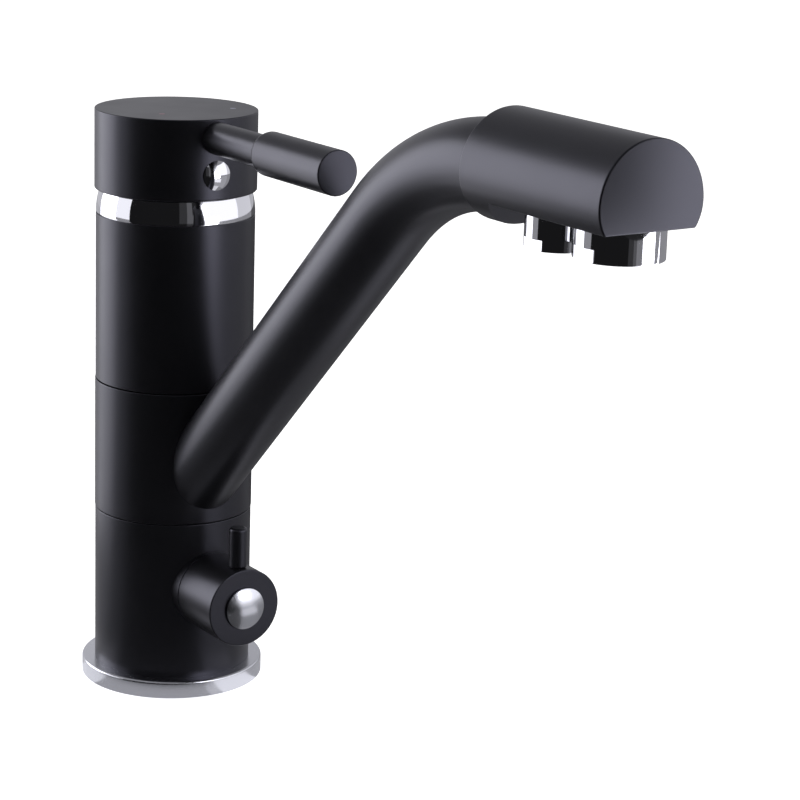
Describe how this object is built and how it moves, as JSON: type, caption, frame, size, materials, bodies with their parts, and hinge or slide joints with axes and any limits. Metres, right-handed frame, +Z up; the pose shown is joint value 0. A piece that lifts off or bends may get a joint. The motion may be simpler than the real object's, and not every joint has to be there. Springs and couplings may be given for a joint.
{
  "type": "kitchen filter tap",
  "caption": "Single-lever kitchen tap with a swivel spout, a second spout outlet for filtered water and a quarter-turn filter valve on its body.",
  "frame": {"origin": "the middle of the base ring's underside, on the worktop and on the swivel axis", "axes": "+Z up along the column and the swivel axis; -Y is the front, the way the spout, the lever and the filter valve point at rest; +X is to the right as seen from the front"},
  "size_m": [0.0582, 0.2615, 0.2092],
  "materials": {
    "black_coat": "matt black coat on cast brass",
    "chrome_plate": "polished chrome plate",
    "brass": "machined",
    "steel": "machined stainless steel",
    "seal_rubber": "moulded EPDM",
    "white_plastic": "moulded acetal",
    "ceramic": "lapped alumina"
  },
  "bodies": {
    "body": {"base_ring": "chrome_plate", "base_gasket": "seal_rubber", "lower_body": "black_coat", "upper_body": "black_coat", "glide_ring_low": "white_plastic", "glide_ring_high": "white_plastic", "swivel_seal_low": "seal_rubber", "swivel_seal_middle": "seal_rubber", "swivel_seal_high": "seal_rubber", "cartridge_base": "white_plastic", "cartridge_seals": "seal_rubber", "fixed_disc": "ceramic", "cartridge_housing": "white_plastic", "cartridge_nut": "brass", "dome_ring": "chrome_plate", "valve_headwork": "brass", "spindle_seal": "seal_rubber", "valve_seat_seal": "seal_rubber", "valve_fixed_disc": "ceramic"},
    "spout": {"swivel_sleeve": "black_coat", "spout_tube": "black_coat", "spout_head": "black_coat", "filter_line": "white_plastic", "main_outlet": "chrome_plate", "main_insert": "white_plastic", "main_outlet_seal": "seal_rubber", "filter_outlet": "chrome_plate", "filter_insert": "white_plastic", "filter_outlet_seal": "seal_rubber"},
    "cartridge_rotor": {"rotor": "white_plastic", "pivot_pin": "steel"},
    "disc_slider": {"moving_disc": "ceramic", "disc_coupler": "white_plastic"},
    "lever": {"cartridge_stem": "steel", "handle_cap": "black_coat", "handle_set_screw": "steel", "lever_rod": "black_coat", "lever_grip": "black_coat", "index_plug": "chrome_plate"},
    "filter_handle": {"valve_turning_disc": "ceramic", "valve_spindle": "brass", "valve_knob": "black_coat", "valve_pin": "black_coat", "knob_screw": "steel", "valve_button": "chrome_plate"}
  },
  "joints": [
    {"name": "spout_swivel", "type": "hinge", "parent": "body", "child": "spout", "pos_m": [0, 0, 0.0776], "axis": [0, 0, 1], "continuous": true},
    {"name": "mix_turn", "type": "hinge", "parent": "body", "child": "cartridge_rotor", "pos_m": [0, 0, 0.15185], "axis": [0, 0, 1], "range_deg": [-45, 45]},
    {"name": "lever_lift", "type": "hinge", "parent": "cartridge_rotor", "child": "lever", "pos_m": [0, 0, 0.15185], "axis": [-1, 0, 0], "range_deg": [0, 22]},
    {"name": "disc_slide", "type": "slide", "parent": "cartridge_rotor", "child": "disc_slider", "axis": [0, -1, 0], "range_m": [0, 0.0046]},
    {"name": "filter_turn", "type": "hinge", "parent": "body", "child": "filter_handle", "pos_m": [0, 0, 0.0343], "axis": [0, -1, 0], "range_deg": [0, 90]}
  ],
  "couplings": [
    {"joint": "disc_slide", "follows": "lever_lift", "m_per_rad": 0.01195}
  ]
}
